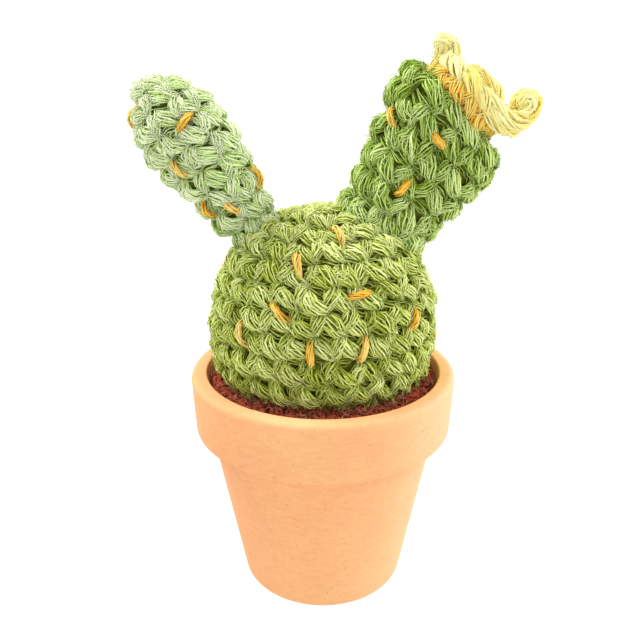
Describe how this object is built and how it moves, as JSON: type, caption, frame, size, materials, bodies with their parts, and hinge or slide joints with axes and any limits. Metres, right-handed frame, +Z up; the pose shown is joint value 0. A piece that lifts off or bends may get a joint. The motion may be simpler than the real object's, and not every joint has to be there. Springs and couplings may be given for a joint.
{
  "type": "crocheted prickly pear cactus in a clay pot",
  "caption": "Soft toy prickly pear cactus, crocheted in green yarn with golden spine stitches and a yellow flower, standing in a small terracotta pot on brown yarn soil.",
  "frame": {"origin": "on the ground, under the middle of the whole object's box", "axes": "+Z up through the pot, +X towards the flower's side, -Y the front"},
  "size_m": [0.0922, 0.065, 0.1338],
  "materials": {
    "clay": "unglazed, matte terracotta with faint speckles and scuffs",
    "green_yarn": "plied yarn worked in single crochet, lightly fuzzy",
    "brown_yarn": "brushed, fuzzy yarn",
    "yellow_yarn": "plied yarn, crocheted in loops",
    "gold_yarn": "plied yarn, straight stitches",
    "stuffing": "loose fibre filling"
  },
  "bodies": {
    "root": {"clay_pot": "clay", "flower": "yellow_yarn", "left_pad": "green_yarn", "left_spine_01": "gold_yarn", "left_spine_02": "gold_yarn", "left_spine_03": "gold_yarn", "left_spine_04": "gold_yarn", "left_spine_05": "gold_yarn", "left_spine_06": "gold_yarn", "left_spine_07": "gold_yarn", "left_spine_08": "gold_yarn", "left_spine_09": "gold_yarn", "main_pad": "green_yarn", "main_spine_01": "gold_yarn", "main_spine_02": "gold_yarn", "main_spine_03": "gold_yarn", "main_spine_04": "gold_yarn", "main_spine_05": "gold_yarn", "main_spine_06": "gold_yarn", "main_spine_07": "gold_yarn", "main_spine_08": "gold_yarn", "main_spine_09": "gold_yarn", "main_spine_10": "gold_yarn", "main_spine_11": "gold_yarn", "main_spine_12": "gold_yarn", "main_spine_13": "gold_yarn", "main_spine_14": "gold_yarn", "main_spine_15": "gold_yarn", "main_spine_16": "gold_yarn", "main_spine_17": "gold_yarn", "main_spine_18": "gold_yarn", "main_spine_19": "gold_yarn", "pot_stuffing": "stuffing", "right_pad": "green_yarn", "right_spine_01": "gold_yarn", "right_spine_02": "gold_yarn", "right_spine_03": "gold_yarn", "right_spine_04": "gold_yarn", "right_spine_05": "gold_yarn", "right_spine_06": "gold_yarn", "right_spine_07": "gold_yarn", "soil_pad": "brown_yarn"}
  },
  "joints": []
}
